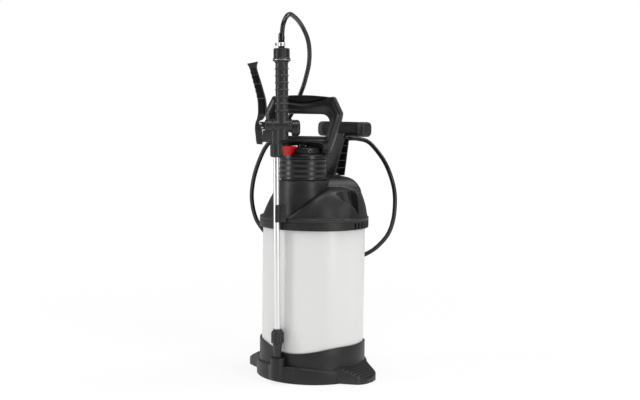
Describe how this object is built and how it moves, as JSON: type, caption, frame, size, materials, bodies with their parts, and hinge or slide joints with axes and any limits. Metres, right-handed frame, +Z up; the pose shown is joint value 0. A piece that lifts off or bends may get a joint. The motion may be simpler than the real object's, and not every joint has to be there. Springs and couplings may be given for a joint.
{
  "type": "pressure sprayer",
  "caption": "Hand-carried compression sprayer: white steel tank on a black foot ring, hooded top, D-handle pump, lance with trigger, and hose loop.",
  "frame": {"origin": "on the floor under the tank's axis, at the middle of the foot ring's underside", "axes": "+Z up, +X and -X towards the two foot treads, -Y towards the parked lance, +Y towards the carrying post"},
  "size_m": [0.2934, 0.3252, 0.721],
  "materials": {
    "black_moulding": "fine grained black polypropylene",
    "soft_black": "soft black overmould",
    "white_enamel": "white powder coated steel",
    "red_moulding": "glossy red plastic",
    "bright_steel": "bright stainless steel",
    "brass": "turned brass",
    "rubber": "black rubber",
    "grey_moulding": "dark grey plastic"
  },
  "bodies": {
    "tank": {"foot_base": "black_moulding", "tank_shell": "white_enamel", "top_hood": "black_moulding", "lance_clip": "black_moulding", "pump_cap": "black_moulding", "pump_head": "black_moulding", "head_gasket": "rubber", "pump_barrel": "grey_moulding", "foot_valve": "rubber", "carry_post": "black_moulding", "post_screw_right": "bright_steel", "post_screw_left": "bright_steel", "grip_sleeve": "soft_black", "grip_cap_right": "black_moulding", "grip_cap_left": "black_moulding", "nozzle_body": "black_moulding", "nozzle_nut": "black_moulding", "lance_tube": "bright_steel", "lance_nut": "black_moulding", "valve_body": "black_moulding", "valve_bonnet": "black_moulding", "lance_grip": "black_moulding", "grip_nut": "black_moulding", "hose_ferrule": "soft_black", "hose_clamp_lance": "bright_steel", "outlet_stub": "black_moulding", "outlet_nut": "brass", "dip_tube": "grey_moulding", "dip_strainer": "grey_moulding", "hose_clamp_tank": "bright_steel", "spray_hose": "rubber"},
    "piston": {"pump_piston": "grey_moulding", "piston_cup": "rubber"},
    "handle": {"pump_rod": "bright_steel", "rod_nut": "bright_steel", "pump_handle": "black_moulding", "handle_pin": "bright_steel", "handle_pad": "soft_black"},
    "relief": {"relief_knob": "red_moulding"},
    "trigger": {"trigger_lever": "black_moulding", "trigger_pin": "bright_steel"},
    "stem": {"valve_stem": "brass"},
    "nozzle": {"nozzle_tip": "brass"}
  },
  "joints": [
    {"name": "pump_stroke", "type": "slide", "parent": "tank", "child": "piston", "axis": [0, 0, 1], "range_m": [0, 0.13]},
    {"name": "handle_turn", "type": "hinge", "parent": "piston", "child": "handle", "pos_m": [0, -0.039, 0.47], "axis": [0, 0, 1], "range_deg": [-25, 0]},
    {"name": "relief_pull", "type": "slide", "parent": "tank", "child": "relief", "axis": [0, 0, 1], "range_m": [0, 0.006], "stiffness_N_per_m": 250},
    {"name": "trigger", "type": "hinge", "parent": "tank", "child": "trigger", "pos_m": [-0.02417, -0.13828, 0.4984], "axis": [-0.6018, 0.7986, 0], "range_deg": [0, 13], "stiffness_Nm_per_rad": 1.2, "springref_deg": -8.59},
    {"name": "stem_push", "type": "slide", "parent": "tank", "child": "stem", "axis": [0.7985, 0.6017, 0.0192], "range_m": [0, 0.0026]},
    {"name": "nozzle_turn", "type": "hinge", "parent": "tank", "child": "nozzle", "pos_m": [0.00405, -0.11702, 0.044], "axis": [-0.0153, -0.0116, 0.9998], "range_deg": [-90, 90]}
  ],
  "couplings": [
    {"joint": "stem_push", "follows": "trigger", "m_per_rad": 0.0105}
  ]
}
